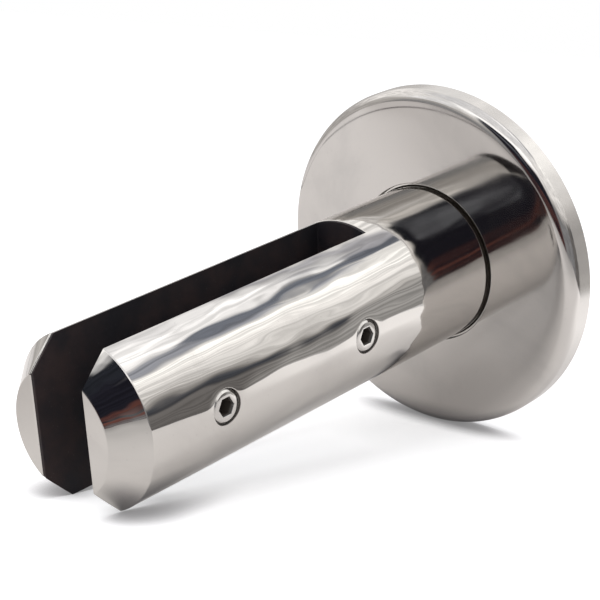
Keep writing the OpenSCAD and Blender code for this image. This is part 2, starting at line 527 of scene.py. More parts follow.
            # The same directions serve top and underside, so that the bore's columns are shared
            way = unit(above - hole)
            wide, narrow = hole + way * self.sink_r, hole + way * self.anchor_r
            deep = t - (self.sink_r - self.anchor_r)
            shell.add(between(lifted(wide, t), lifted(above, t), SPREAD), UP, wrap=True)
            shell.add(between(lifted(narrow, 0), lifted(below, 0), SPREAD), DOWN, wrap=True)
            sink = between(lifted(wide, t), lifted(narrow, deep), NARROW)
            shell.add(sink, unit(lifted(-way, 1.0)), wrap=True)
            bore = between(lifted(narrow, deep), lifted(narrow, 0), NARROW)
            shell.add(bore, lifted(-way, 0.0), wrap=True)

    def jaw(self, shell: Shell, k: dict[str, np.ndarray], side: int) -> None:
        """One jaw's outer surface, flat end and bevels.

        The surface is (r sin f, side r cos f, z) with f from minus to plus the inverse cosine
        of y / r, where y is the bevel's edge. The flat end is ruled from its chord to its arc.
        The bevels run from the outer edge to the inner one, and their normals turn a little
        from the one surface's towards the other's, as hand polishing leaves them.

        Args:
            shell: the body that it is added to.
            k: the jaw's rows.
            side: -1 for the jaw with the screws and 1 for the fixed one.
        """
        angle = self.across(np.arccos(k["y"] / k["r"]), self.inner_angles())
        s, c = np.sin(angle), np.cos(angle)
        r, nr = k["r"][:, None], k["nr"][:, None]
        grid = places(r * s, side * r * c, k["z"][:, None])
        normal = places(nr * s, side * nr * c, k["nz"][:, None])
        shell.add(grid, normal, holes=self.cells(k["z"], s.shape[1]) if side < 0 else None)

        edge = self.across(k["xi"][-1:], self.inner_places())[0]
        chord = places(edge, side * k["y"][-1], k["z"][-1])
        shell.add(between(chord, grid[-1], np.linspace(0, 1, 6)), UP)
        wall = places(edge, side * k["yi"][-1], k["zi"][-1])
        inward = np.array([[0, -side, 0.0]])
        shell.add(between(chord, wall, NARROW), softened(UP[None], inward, NARROW))
        for x in (-1, 1):
            outer = places(x * k["x"], side * k["y"], k["z"])
            inner = places(x * k["xi"], side * k["yi"], k["zi"])
            out = places(x * k["ox"], 0 * k["x"], k["oz"])
            into = places(0 * k["x"], -side * k["my"], -k["mz"])
            shell.add(between(outer, inner, NARROW), softened(out, into, NARROW))

    def cells(self, z: np.ndarray, columns: int) -> np.ndarray:
        """Finds the cells of a jaw's grid that the screws' windows replace.

        Args:
            z: height of each row.
            columns: number of columns.

        Returns:
            A mask, (rows - 1, columns - 1).
        """
        mid = (z[:-1] + z[1:]) / 2
        inside = np.any([np.abs(mid - s) < self.window for s in self.screw_z], 0)
        x = np.arange(columns - 1) - (columns - SCREW_COLUMNS) // 2
        return inside[:, None] & ((x >= 0) & (x < SCREW_COLUMNS - 1))[None]

    def channel(self, shell: Shell, k: dict[str, np.ndarray]) -> None:
        """The slot's walls, corners and floor: its profile (y, z) carried across the post.

        Each row runs straight from -xi to xi, the places where the bevels' inner edges are.

        Args:
            shell: the body that it is added to.
            k: the jaws' rows.
        """
        b, c = self.bevel_low, self.slot_half - self.corner_r
        y = np.linspace(-c, c, FLOOR_COLUMNS)
        reach = np.sqrt(self.radius**2 - y**2) - b
        x = self.across(reach, self.inner_places())
        shell.add(places(x, y[:, None], self.floor), UP)
        for s in (-1, 1):
            outer = places(s * (reach + b), y, self.floor - b)
            inner, out = places(s * reach, y, self.floor), np.array([[s, 0, 0.0]])
            shell.add(between(outer, inner, NARROW), softened(out, UP[None], NARROW))
            x = self.across(k["xi"], self.inner_places())
            wall = places(x, s * k["yi"][:, None], k["zi"][:, None])
            open_side = places(0 * x, -s * k["my"][:, None], -k["mz"][:, None])
            shell.add(wall, open_side, holes=self.cells(k["z"], x.shape[1]) if s < 0 else None)

    def dented(self, flat: np.ndarray, z0: float) -> Pair:
        """The post's surface round a screw's hole, with the dent that polishing leaves.

        It is y = d(p) - sqrt(R^2 - x^2), with p the distance from the hole's axis and
        d = dent (1 - u)^3, u going from 0 at the lip to 1 at the window's side.

        Args:
            flat: places (x, z) from the hole's axis.
            z0: height of the axis.

        Returns:
            The points and their normals.
        """
        lip = self.screw_r + self.lip_r
        x, p = flat[..., 0], np.linalg.norm(flat, axis=-1)
        u = np.clip((p - lip) / (self.window - lip), 0, 1)
        d = self.dent * (1 - u) ** 3
        slope = -3 * self.dent * (1 - u) ** 2 / (self.window - lip)
        root = np.sqrt(self.radius**2 - x**2)
        n = np.stack([x / root + slope * x / p, -np.ones_like(x), slope * flat[..., 1] / p], -1)
        return np.stack([x, d - root, z0 + flat[..., 1]], -1), unit(n)

    def screw_hole(self, shell: Shell, z0: float) -> None:
        """A screw's hole with the post's surface and the slot's wall round it.

        The lip is a quarter circle, and the bore's radius follows the thread,
        r + depth tri(y / pitch + angle / 2 pi), with the depth easing to nothing at both ends.

        Args:
            shell: the body that it is added to.
            z0: height of the screw's axis.
        """
        loop = self.screw_window()
        way = unit(loop)
        lip = self.screw_r + self.lip_r
        crowded = np.array([0, 0.05, 0.12, 0.22, 0.36, 0.55, 0.77, 1.0])
        shell.add(*self.dented(between(way * lip, loop, crowded), z0), wrap=True)

        a = np.linspace(0, math.pi / 2, 6)[:, None]
        at = way[None] * (lip - self.lip_r * np.sin(a))[..., None]
        spot, lean = self.dented(way * lip, z0)
        sunk = spot[None, :, 1] + self.lip_r * (1 - np.cos(a))
        rounded = np.stack([at[..., 0], sunk, z0 + at[..., 1]], -1)
        inward = places(-way[:, 0], 0 * way[:, 0], -way[:, 1])
        n = lean[None] * np.cos(a)[..., None] + inward[None] * np.sin(a)[..., None]
        shell.add(rounded, unit(n), wrap=True)

        mouth = rounded[-1:, :, 1]
        v = np.linspace(0, 1, self.bore_rows)[:, None]
        y = mouth + (-self.slot_half - mouth) * v
        turn = np.arctan2(way[:, 1], way[:, 0])[None] / (2 * math.pi)
        thread = 1 - np.abs(((y / self.thread_pitch + turn) % 1) * 2 - 1)
        fade = ease(v, 0, self.thread_fade) * ease(1 - v, 0, self.thread_fade)
        r = self.screw_r + self.thread_depth * thread * fade
        bore = places(r * way[:, 0], y, z0 + r * way[:, 1])
        n = slopes(bore, wrap=True)
        shell.add(bore, n * np.sign((n * inward).sum(-1, keepdims=True)), wrap=True)
        end = self.screw_r * way
        ring = places(end[:, 0], -self.slot_half, z0 + end[:, 1])
        border = places(loop[:, 0], -self.slot_half, z0 + loop[:, 1])
        shell.add(between(ring, border, SPREAD), np.array([0, 1.0, 0]), wrap=True)

    def mark(self, obj: bpy.types.Object) -> None:
        """Paints the screw holes' painted shade and where polishing has left no waves.

        Painted shade, a dark and dull colour, lies in the screw holes, from within the lip inwards.
        Faces whose normal is nearly along Z, and along Y near the slot, are level or sawn and have
        no waves. The turned end under the slot has few.

        Args:
            obj: the finished body.
        """
        co, out = spots(obj), np.abs(vectors(obj.data.vertex_normals, "vector"))
        away = np.min([np.hypot(co[:, 0], co[:, 2] - z) for z in self.screw_z], 0)
        inside = (self.screw_r + self.lip_r * 0.6 - away) / (self.lip_r * 0.5)
        # painted shade in the screw holes, from within the lip inwards
        paint(obj, "hollow_shade_share", inside * (co[:, 1] < 0))
        sawn = ease(out[:, 1], 0.85, 0.95) * (np.abs(co[:, 1]) < self.slot_half + 2)
        end = self.end_level * (1 - ease(co[:, 2], self.floor - self.end_fade, self.floor))
        paint(obj, "level", np.maximum.reduce([sawn, ease(out[:, 2], 0.25, 0.95), end]))

    def build(self, material: bpy.types.Material) -> bpy.types.Object:
        """Makes the whole body as one closed mesh.

        Args:
            material: its finish.

        Returns:
            The finished piece.
        """
        shell, ring, k = Shell("polished_post"), self.ring(), self.rows()
        self.plate(shell, ring)
        r, t, f = self.radius, self.plate_t, self.foot_r
        foot = outline([(r + f, t, 0), (r, t, f), (r, self.floor - self.bevel_low, 0)], pitch=4.0)
        shell.add(*turned(foot, ring), wrap=True)
        for side in (-1, 1):
            self.jaw(shell, k, side)
        self.channel(shell, k)
        for z in self.screw_z:
            self.screw_hole(shell, z)
        obj = shell.piece(material)
        self.mark(obj)
        return obj


@dataclass
class Cover:
    """The loose pressed cover: flat face, rounded shoulder and plain skirt, in mm."""

    hole_r: float = 25.9
    sheet: float = 1.2
    shoulder_r: float = 4.0
    lip_r: float = 0.25
    fall_from: float = 44.0
    fall_slope: float = 0.15
    fall_power: float = 2.3
    columns: int = 240
    radius: float = field(init=False)
    top: float = field(init=False)
    low: float = field(init=False)

    def __post_init__(self) -> None:
        """Reads the cover's radius and height from the CAD's box."""
        low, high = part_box("base_cover")
        self.radius, self.top, self.low = high.x / MM, high.z / MM, low.z / MM

    def outside(self) -> Pair:
        """The face and shoulder, (r, z) with normals, from the hole's lip to the skirt.

        The face is flat up to where it starts to fall. From there its slope is s t^p, with t
        going from 0 to 1, so the drop is s L t^(p + 1) / (p + 1) over the length L. The shoulder
        is an arc from that slope to the vertical: (c + R sin a, d + R cos a).

        Returns:
            The points and their normals, each (n, 2).
        """
        s, big = self.fall_slope, self.shoulder_r
        end = self.radius - big * (1 - math.sin(s))
        length = end - self.fall_from
        r = steps(self.hole_r + self.lip_r, self.fall_from, end, pitch=0.8)
        t = np.clip((r - self.fall_from) / length, 0, 1)
        power = self.fall_power + 1
        slope, drop = s * t**self.fall_power, s * length * t**power / power
        a = np.linspace(s, math.pi / 2, 19)[1:]
        base = self.top - drop[-1] - big * math.cos(s)
        face = np.stack([r, self.top - drop], 1)
        shoulder = np.stack([self.radius - big + big * np.sin(a), base + big * np.cos(a)], 1)
        turn = np.concatenate([slope, a])
        return np.concatenate([face, shoulder]), np.stack([np.sin(turn), np.cos(turn)], 1)

    def build(self, material: bpy.types.Material) -> bpy.types.Object:
        """Carries the sheet's closed profile (r, z) round the Z axis.

        Painted shade lies on the hole's wall, in the gap round the post. The skirt is marked as
        brushed, because the wheel that polishes the face leaves it a little duller.

        Args:
            material: the cover's finish.

        Returns:
            The finished piece.
        """
        inner, under = self.radius - self.sheet, self.top - self.sheet
        hole, lip_r = self.hole_r, self.lip_r
        face = self.outside()
        wall = [(hole, under, 0), (hole, self.top, lip_r), (hole + lip_r, self.top, 0)]
        lip = outline(wall, pitch=3.0)
        skirt = outline(
            [
                (*face[0][-1], 0.0),
                (self.radius, self.low, lip_r),
                (inner, self.low, 0),
                (inner, under, self.shoulder_r - self.sheet),
                (hole, under, 0),
            ],
            pitch=3.0,
            arc=12,
        )
        # The lip and skirt have the sheet on their other side, so their normals are turned round
        shell = Shell("polished_cover")
        angle = np.linspace(0, 2 * math.pi, self.columns + 1)[:-1]
        for points, normals in ((lip[0], -lip[1]), face, (skirt[0], -skirt[1])):
            shell.add(*turned((points, normals), angle), wrap=True)
        obj = shell.piece(material)
        co = spots(obj)
        across = np.hypot(co[:, 0], co[:, 1])
        # painted shade on the hole's wall, in the gap round the post
        paint(obj, "hollow_shade_share", (hole + lip_r * 0.8 - across) / (lip_r * 0.6))
        paint(obj, "brushed", across > self.radius - 0.01)
        return obj


@dataclass
class GrubScrew:
    """One flat-pointed grub screw with a hexagon socket, along Y, in mm."""

    node: str
    radius: float = 5.0
    end_bevel: float = 0.9
    point_r: float = 3.5
    key: float = 5.0
    socket: float = 5.0
    mouth_bevel: float = 0.12
    dome: float = 0.15
    thread_pitch: float = 1.5
    thread_depth: float = 0.8
    thread_edge: Span = (0.85, 0.2)  # the thread's root and crest, in half pitches
    thread_run: float = 0.5
    # how deep from the outer end the painted shade reaches
    shade_deep: float = 8.0
    flats: int = 6
    columns: int = 13  # to a flat
    thread_rows: int = 92

    def wrapped(self, r: np.ndarray, s: np.ndarray, angle: np.ndarray) -> np.ndarray:
        """Points round the screw's axis: (r cos a, y0 + s, z0 + r sin a).

        Args:
            r: radius.
            s: depth from the screw's outer end.
            angle: angle round the axis.

        Returns:
            The points, in mm.
        """
        low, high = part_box(self.node)
        z0 = (low.z + high.z) / 2 / MM
        return places(r * np.cos(angle), low.y / MM + s, z0 + r * np.sin(angle))

    def build(self, name: str, material: bpy.types.Material) -> bpy.types.Object:
        """Makes the screw from rings of columns that are shared by the socket's six flats.

        The socket's radius is (key / 2) / cos(angle from the flat's middle), and at the mouth
        that plus a small bevel. The thread's radius is radius - depth p, where p is a trapezium
        wave of s / pitch + angle / 2 pi, easing to nothing at both ends. Painted shade lies in the
        socket and in the outer turns of the thread.

        Args:
            name: the piece's name.
            material: the screw's finish.

        Returns:
            The finished piece.
        """
        low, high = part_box(self.node)
        length, half, turn = (high.y - low.y) / MM, self.key / 2, math.pi / self.flats
        own = np.tile(np.linspace(-turn, turn, self.columns), self.flats)
        mid = np.repeat(np.arange(self.flats) * 2 * math.pi / self.flats, self.columns)
        angle = mid + own
        out = places(np.cos(angle), 0, np.sin(angle))
        facet = -places(np.cos(mid), 0, np.sin(mid))
        near, far = np.array([0, -1.0, 0]), np.array([0, 1.0, 0])
        hexagon = half / np.cos(own)
        mouth = hexagon + self.mouth_bevel
        shell = Shell(name)

        s = np.linspace(0, self.mouth_bevel, 3)[:, None]
        shell.add(self.wrapped(mouth[None] - s, s, angle), unit(near + facet))
        s = np.linspace(self.mouth_bevel, self.socket, 9)[:, None]
        shell.add(self.wrapped(hexagon[None], s, angle), facet)
        t = np.linspace(0, 1, 3)[:, None]
        r = hexagon[None] + (half - hexagon[None]) * t
        shell.add(self.wrapped(r, self.socket, angle), near)
        drill = half * math.tan(turn)
        cone = self.wrapped(half * (1 - t), self.socket + drill * t, angle)
        shell.add(cone, unit(near * 2 - out))

        face, bevel = self.radius - self.end_bevel, self.radius - self.point_r
        r = mouth[None] + (face - mouth[None]) * t
        lean = out * self.dome * 1.6 * t[..., None]
        shell.add(self.wrapped(r, self.dome * t**2, angle), unit(near + lean))
        s = self.dome + (self.end_bevel - self.dome) * t
        shell.add(self.wrapped(face + self.end_bevel * t, s, angle), unit(out * 0.8 + near))

        once = angle[np.arange(len(angle)) % self.columns < self.columns - 1]
        s = np.linspace(self.end_bevel, length - bevel, self.thread_rows)[:, None]
        phase = (s / self.thread_pitch + once[None] / (2 * math.pi)) % 1
        groove = ease(np.abs(phase * 2 - 1), *self.thread_edge)
        start, stop, run = self.end_bevel, length - bevel, self.thread_run
        fade = ease(s, start, start + run) * ease(-s, -stop, run - stop)
        thread = self.wrapped(self.radius - self.thread_depth * groove * fade, s, once)
        n, away = slopes(thread, wrap=True), places(np.cos(once), 0, np.sin(once))
        shell.add(thread, n * np.sign((n * away).sum(-1, keepdims=True)), wrap=True)
        s = length - bevel + bevel * t
        shell.add(self.wrapped(self.radius - bevel * t, s, angle), unit(out + far))
        shell.add(self.wrapped(self.point_r * (1 - t), length, angle), far)

        obj = shell.piece(material)
        co = spots(obj)
        across = np.hypot(co[:, 0], co[:, 2] - (low.z + high.z) / 2 / MM)
        deep = co[:, 1] - low.y / MM
        socket, thread = (deep - self.mouth_bevel) / 0.8, (across - self.radius + 0.25) / 0.2
        hollow_shade_share = np.where(across < self.key * 0.6, socket, thread)
        # painted shade in the socket and on the outer turns of the thread, near the outer end
        paint(obj, "hollow_shade_share", hollow_shade_share * (deep < self.shade_deep))
        return obj


@dataclass
class Liner:
    """The rubber sheet on the fixed jaw and the slot's floor, in mm."""

    post: Post
    sheet: float = 1.0
    inset: float = 0.2

    def reach(self, y: np.ndarray, z: np.ndarray) -> np.ndarray:
        """Half the sheet's length, which ends an inset inside the post's surface.

        Args:
            y: places across the slot.
            z: heights.

        Returns:
            The length at each place.
        """
        p = self.post
        cone = p.height - p.cone_h
        share = np.clip((z - cone) / (p.height - self.inset - cone), 0, 1)
        return np.sqrt((p.radius - self.inset - share * p.cone_w) ** 2 - y**2)

    def lines(self) -> list[np.ndarray]:
        """The sheet's two faces as lines in (y, z).

        The back face follows the jaw, the corner and the floor to the screw jaw's corner, and
        the front face lies one sheet's thickness in front of it, with a like corner of its own.

        Returns:
            The back line and the front line, point for point.
        """
        p, r = self.post, self.post.corner_r
        low, top = p.floor + r, p.height - self.inset
        z = steps(top, p.height - p.cone_h, low, pitch=4.0)
        a = np.linspace(math.pi / 2, 0, 8)[1:]
        e = np.linspace(0, math.pi / 2, 6)[1:]
        lines = []
        for rise in (0.0, self.sheet):
            y0 = p.slot_half - rise
            upright = top - (top - z) * (top - low - rise) / (top - low)
            floor = np.linspace(y0 - r, r - p.slot_half, 8)[1:]
            lift = 0 * e if rise else r * (1 - np.cos(e))
            parts = [
                (np.full(len(z), y0), upright),
                (y0 - r + r * np.sin(a), low + rise - r * np.cos(a)),
                (floor, np.full(len(floor), p.floor + rise)),
                (r - p.slot_half - r * np.sin(e), p.floor + rise + lift),
            ]
            lines.append(np.concatenate([np.stack(part, 1) for part in parts]))
        return lines

    def build(self, material: bpy.types.Material) -> bpy.types.Object:
        """Carries the sheet's two faces across the post and closes them with its edges.

        Args:
            material: the liner's finish.

        Returns:
            The finished piece.
        """
        back, front = self.lines()
        shell, u = Shell("rubber_liner"), np.linspace(-1, 1, 41)
        for line, side in ((back, 1.0), (front, -1.0)):
            run = unit(np.gradient(line, axis=0))
            x = self.reach(line[:, 0], line[:, 1])[:, None] * u
            normal = places(0, -side * run[:, 1:], side * run[:, :1])
            shell.add(places(x, line[:, :1], line[:, 1:]), normal)
        wide = between(back, front, np.linspace(0, 1, 5))
        x = self.reach(wide[..., 0], wide[..., 1])
        for s in (-1, 1):
            out = unit(places(s * x, wide[..., 0], 0 * x))
            shell.add(places(s * x, wide[..., 0], wide[..., 1]), out)
        for cap, out in ((wide[:, 0], UP), (wide[:, -1], np.array([0, -1.0, 0]))):
            x = self.reach(cap[:, 0], cap[:, 1])[:, None] * u
            shell.add(places(x, cap[:, :1], cap[:, 1:]), out)
        return shell.piece(material)


# ---------------------------------------------------------------- finishes


class Tree:
    """Adds nodes to one node tree and links them, so that a finish reads as a list of steps."""

    def __init__(self, tree: bpy.types.NodeTree) -> None:
        """Takes over a tree and empties it."""
        tree.nodes.clear()
        self.tree = tree

    @classmethod
    def of(cls, owner: bpy.types.Material | bpy.types.World) -> "Tree":
        """The emptied tree of a material or a world."""
        owner.use_nodes = True
        return cls(owner.node_tree)

    def add(self, kind: str, inputs: dict | None = None, **settings: object) -> bpy.types.Node:
        """Adds a node.

        Args:
            kind: the node's type, without its ShaderNode prefix.
            inputs: for each input, by name or number, the output socket or value that feeds it.
            settings: the node's own settings.

        Returns:
            The node.
        """
        node = self.tree.nodes.new(kind if kind.startswith("NodeGroup") else "ShaderNode" + kind)
        for name, value in settings.items():
            setattr(node, name, value)
        for name, value in (inputs or {}).items():
            if isinstance(value, bpy.types.NodeSocket):
                self.tree.links.new(value, node.inputs[name])
            else:
                node.inputs[name].default_value = value
        return node

    def math(self, operation: str, *values: object) -> bpy.types.NodeSocket:
        """A Math node's result."""
        return self.add("Math", dict(enumerate(values)), operation=operation).outputs[0]

    def vector(self, operation: str, *values: object, out: int = 0) -> bpy.types.NodeSocket:
        """A Vector Math node's result; out is 1 for a dot product or a length."""
        return self.add("VectorMath", dict(enumerate(values)), operation=operation).outputs[out]

    def mix(self, factor: object, a: object, b: object) -> bpy.types.NodeSocket:
        """Colour a turned into colour b by the factor."""
        ends = [(*c, 1) if isinstance(c, tuple) else c for c in (a, b)]
        return self.add("Mix", dict(zip((0, 6, 7), (factor, *ends))), data_type="RGBA").outputs[2]

    def span(
        self, value: object, low: float, high: float, start: float = 0.0, stop: float = 1.0
    ) -> bpy.types.NodeSocket:
        """A value brought smoothly from start at low to stop at high."""
        inputs = {0: value, 1: low, 2: high, 3: start, 4: stop}
        return self.add("MapRange", inputs, interpolation_type="SMOOTHSTEP").outputs[0]

    def noise(
        self,
        where: object,
        scale: object,
        detail: float = 2.0,
        rough: float = 0.5,
        warp: float = 0.0,
    ) -> bpy.types.NodeSocket:
        """Noise from 0 to 1."""
        inputs = {"Scale": scale, "Detail": detail, "Roughness": rough, "Distortion": warp}
        return self.add("TexNoise", {"Vector": where, **inputs}).outputs[0]

    def xyz(self, x: object, y: object = 0.0, z: object = 0.0) -> bpy.types.NodeSocket:
        """A vector from its three numbers."""
        return self.add("CombineXYZ", {0: x, 1: y, 2: z}).outputs[0]

    def use(self, tree: bpy.types.NodeTree, inputs: dict) -> bpy.types.bpy_prop_collection:
        """The outputs of a shared group placed in this tree."""
        return self.add("Group", inputs, node_tree=tree).outputs


def group(name: str, ins: dict[str, float | None], outs: list[str]) -> tuple[Tree, dict, dict]:
    """Starts a shader node group with named sockets.

    Args:
        name: the group's name.
        ins: each input's name with its default number, or None for a vector input.
        outs: names of the float outputs.

    Returns:
        The group's tree, its input sockets by name, and the output node's inputs by name.
    """
    t = Tree(bpy.data.node_groups.new(name, "ShaderNodeTree"))
    for key, value in ins.items():
        kind = "NodeSocketVector" if value is None else "NodeSocketFloat"
        socket = t.tree.interface.new_socket(name=key, in_out="INPUT", socket_type=kind)
        if value is not None:
            socket.default_value = value
    for key in outs:
        t.tree.interface.new_socket(name=key, in_out="OUTPUT", socket_type="NodeSocketFloat")
    given, made = t.add("NodeGroupInput"), t.add("NodeGroupOutput")
    return t, {k: given.outputs[k] for k in ins}, {k: made.inputs[k] for k in outs}


class Effects:
    """The node groups that several finishes share, each built once."""

    def __init__(self) -> None:
        """Builds the groups."""
        self.waves = self.polish_waves()
        self.film = self.handling_film()
        self.hairlines = self.fine_lines()
        self.grain = self.rubber_grain()
        # painted shade in holes, sockets and gaps: duller and hardly metallic
        self.hollow_shade = self.painted_hollow_shade()

    @staticmethod
    def polish_waves() -> bpy.types.NodeTree:
        """Shallow waves that hand polishing leaves, long in one direction and short across it.

        Returns:
            A group that gives Height at a Vector, with scales to a metre Along Z and Across it.
        """
        t, i, o = group("Polish waves", {"Vector": None, "Along": 12.0, "Across": 60.0}, ["Height"])
        x = t.add("SeparateXYZ", {0: i["Vector"]}).outputs
        turns = ("Across", "Across", "Along")
        where = t.xyz(*(t.math("MULTIPLY", x[k], i[turn]) for k, turn in enumerate(turns)))
        broad, fine = t.noise(where, 1.0, 1.0, 0.4), t.noise(where, 2.7, 1.0, 0.5)
        t.tree.links.new(t.math("MULTIPLY_ADD", fine, 0.3, broad), o["Height"])
        return t.tree

    @staticmethod
    def handling_film() -> bpy.types.NodeTree:
        """A thin cloudy film with specks of dust.

        Returns:
            A group that gives Film, the film's cover, and Dust, the specks, at a Vector.
        """
        ins = {"Vector": None, "Scale": 25.0, "Dust size": 900.0}
        t, i, o = group("Handling film", ins, ["Film", "Dust"])
        cloud = t.noise(i["Vector"], i["Scale"], 5.0, 0.6, warp=0.6)
        t.tree.links.new(t.span(cloud, 0.45, 0.72), o["Film"])
        cell = t.add("TexVoronoi", {"Vector": i["Vector"], "Scale": i["Dust size"]}).outputs
        few = t.math("GREATER_THAN", t.add("SeparateColor", {0: cell["Color"]}).outputs[0], 0.93)
        speck = t.math("MULTIPLY", t.span(cell["Distance"], 0.28, 0.12), few)
        t.tree.links.new(speck, o["Dust"])
        return t.tree

    @staticmethod
    def fine_lines() -> bpy.types.NodeTree:
        """Fine parallel marks of a polishing wheel or a lathe.

        Returns:
            A group that gives Height at a Coordinate across the marks, drifting along them.
        """
        ins = {"Coordinate": 0.0, "Scale": 4000.0, "Drift": 0.0}
        t, i, o = group("Fine lines", ins, ["Height"])
        where = t.xyz(t.math("MULTIPLY", i["Coordinate"], i["Scale"]), i["Drift"])
        t.tree.links.new(t.noise(where, 1.0, 3.0, 0.65), o["Height"])
        return t.tree

    @staticmethod
    def rubber_grain() -> bpy.types.NodeTree:
        """Moulded rubber.

        Returns:
            A group that gives Height, a fine grain, and Blotch, soft uneven blotches.
        """
        ins = {"Vector": None, "Grain size": 2600.0, "Blotch size": 70.0}
        t, i, o = group("Rubber grain", ins, ["Height", "Blotch"])
        t.tree.links.new(t.noise(i["Vector"], i["Grain size"], 3.0), o["Height"])
        blotch = t.noise(i["Vector"], i["Blotch size"], 4.0, 0.6)
        t.tree.links.new(t.span(blotch, 0.35, 0.7), o["Blotch"])
        return t.tree

    @staticmethod
    def painted_hollow_shade() -> bpy.types.NodeTree:
        """Painted shade in hollows on steel: duller and hardly metallic.

        Returns:
            A group that gives Roughness and Metallic, from the steel's own Roughness and Soil,
            the grease's share.
        """
        outs = ["Roughness", "Metallic"]
        t, i, o = group("Painted hollow shade", {"Hollow shade share": 0.0, "Roughness": 0.1}, outs)
        dull = t.math("MULTIPLY_ADD", i["Hollow shade share"], 0.35, i["Roughness"])
        t.tree.links.new(dull, o["Roughness"])
        t.tree.links.new(t.math("MULTIPLY_ADD", i["Hollow shade share"], -0.9, 1.0), o["Metallic"])
        return t.tree


# How much each effect counts in a steel finish
SPECK = 0.6  # a speck of dust, against the whole film
LINED_ROUGH, EVEN_ROUGH = 0.6, 0.7  # the roughness that follows the lines, and the rest


class Lay(Enum):
    """Which way a steel finish's fine lines run."""

    LENGTHWISE = "along the post"
    ROUND = "round the axis"


@dataclass(frozen=True)
class Steel:
    """A stainless steel finish.

    The heights are in metres, and wave_along, wave_across and line_scale are scales to a metre.
    The film adds film_rough to the roughness. Where a piece's holes, sockets and gaps are marked
    it has the painted shade's dark colour, where it is painted "brushed" it is rougher by
    brushed_rough, and where it is painted "level" the share calm of its bumps is left out.
    """

    name: str
    clean: Colour
    filmed: Colour
    rough: float
    film_rough: float
    wave_height: float
    wave_along: float
    wave_across: float
    line_height: float
    line_scale: float
    lay: Lay
    # the painted shade's dark colour in holes, sockets and gaps
    hollow_shade: Colour | None = None
    calm: float = 0.0
    brushed_rough: float = 0.0

    def lines(self, t: Tree, fx: Effects, here: bpy.types.NodeSocket) -> bpy.types.NodeSocket:
        """The fine lines' height.

        Args:
            t: the material's tree.
            fx: the shared groups.
            here: the place on the piece.

        Returns:
            The height, from 0 to 1.
        """
        x = t.add("SeparateXYZ", {0: here}).outputs
        angle = t.math("ARCTAN2", x[1], x[0])
        if self.lay is Lay.ROUND:
            run, drift = t.vector("LENGTH", here, out=1), t.math("MULTIPLY", angle, 1.5)
        else:
            run, drift = t.math("MULTIPLY", angle, 0.025), t.math("MULTIPLY", x[2], 60.0)
        inputs = {"Coordinate": run, "Scale": self.line_scale, "Drift": drift}
        return t.use(fx.hairlines, inputs)["Height"]

    def make(self, fx: Effects) -> bpy.types.Material:
        """Builds the material: film and dust in colour and roughness, waves and lines as bumps.

        Args:
            fx: the shared groups.

        Returns:
            The material.
        """
        m = bpy.data.materials.new(self.name)
        t = Tree.of(m)
        here = t.add("TexCoord").outputs["Object"]
        film = t.use(fx.film, {"Vector": here})
        dusty = t.math("MULTIPLY_ADD", film["Dust"], SPECK, film["Film"])
        colour = t.mix(dusty, self.clean, self.filmed)
        spread = {"Along": self.wave_along, "Across": self.wave_across}
        waves = t.use(fx.waves, {"Vector": here, **spread})["Height"]
        lines = self.lines(t, fx, here)
        rough = t.math("MULTIPLY_ADD", lines, self.rough * LINED_ROUGH, self.rough * EVEN_ROUGH)
        rough = t.math("MULTIPLY_ADD", dusty, self.film_rough, rough)
        metal: object = 1.0
        # painted shade: darker, duller and hardly metallic in the marked holes, sockets and gaps
        if self.hollow_shade:
            hollow_shade_share = t.add("Attribute", attribute_name="hollow_shade_share").outputs["Fac"]
            colour = t.mix(hollow_shade_share, colour, self.hollow_shade)
            hollow_shaded = t.use(fx.hollow_shade, {"Hollow shade share": hollow_shade_share, "Roughness": rough})
            rough, metal = hollow_shaded["Roughness"], hollow_shaded["Metallic"]
        if self.brushed_rough:
            brushed = t.add("Attribute", attribute_name="brushed").outputs["Fac"]
            rough = t.math("MULTIPLY_ADD", brushed, self.brushed_rough, rough)
        proud: object = 1.0
        if self.calm:
            level = t.add("Attribute", attribute_name="level").outputs["Fac"]
            proud = t.math("MULTIPLY_ADD", level, -self.calm, 1.0)
        wavy = {"Height": waves, "Distance": self.wave_height, "Strength": proud}
        lined = {"Height": lines, "Distance": self.line_height, "Strength": proud}
        lined["Normal"] = t.add("Bump", wavy).outputs[0]
        inputs = {"Base Color": colour, "Roughness": rough, "Metallic": metal}
        inputs["Normal"] = t.add("Bump", lined).outputs[0]
        t.add("OutputMaterial", {"Surface": t.add("BsdfPrincipled", inputs).outputs[0]})
        return m


@dataclass(frozen=True)
class Rubber:
    """A matt black rubber finish, with blotches from dark to light and a little pale dust."""

    name: str
    dark: Colour
    light: Colour
    rough: float
    blotch_rough: float = 0.12
    grain_height: float = 0.00004
    dust: Colour = (0.09, 0.088, 0.085)
    dust_share: float = 0.35

    def make(self, fx: Effects) -> bpy.types.Material:
        """Builds the material: blotches in colour and roughness, and grain as a bump.

        Args:
            fx: the shared groups.

        Returns:
            The material.
        """
        m = bpy.data.materials.new(self.name)
        t = Tree.of(m)
        here = t.add("TexCoord").outputs["Object"]
        grain = t.use(fx.grain, {"Vector": here})
        dust = t.use(fx.film, {"Vector": here, "Scale": 60.0, "Dust size": 1300.0})["Dust"]
        colour = t.mix(grain["Blotch"], self.dark, self.light)
        colour = t.mix(t.math("MULTIPLY", dust, self.dust_share), colour, self.dust)
        rough = t.math("MULTIPLY_ADD", grain["Blotch"], self.blotch_rough, self.rough)
        bump = {"Height": grain["Height"], "Distance": self.grain_height, "Strength": 1.0}
        inputs = {"Base Color": colour, "Roughness": rough, "Specular IOR Level": 0.35}
        inputs["Normal"] = t.add("Bump", bump).outputs[0]
        shader = t.add("BsdfPrincipled", inputs)
        t.add("OutputMaterial", {"Surface": shader.outputs[0]})
        return m


# Painted shade: the dark colour of the holes, sockets and narrow gaps, where shade falls
HOLLOW_SHADE_TONE: Colour = (0.075, 0.062, 0.052)

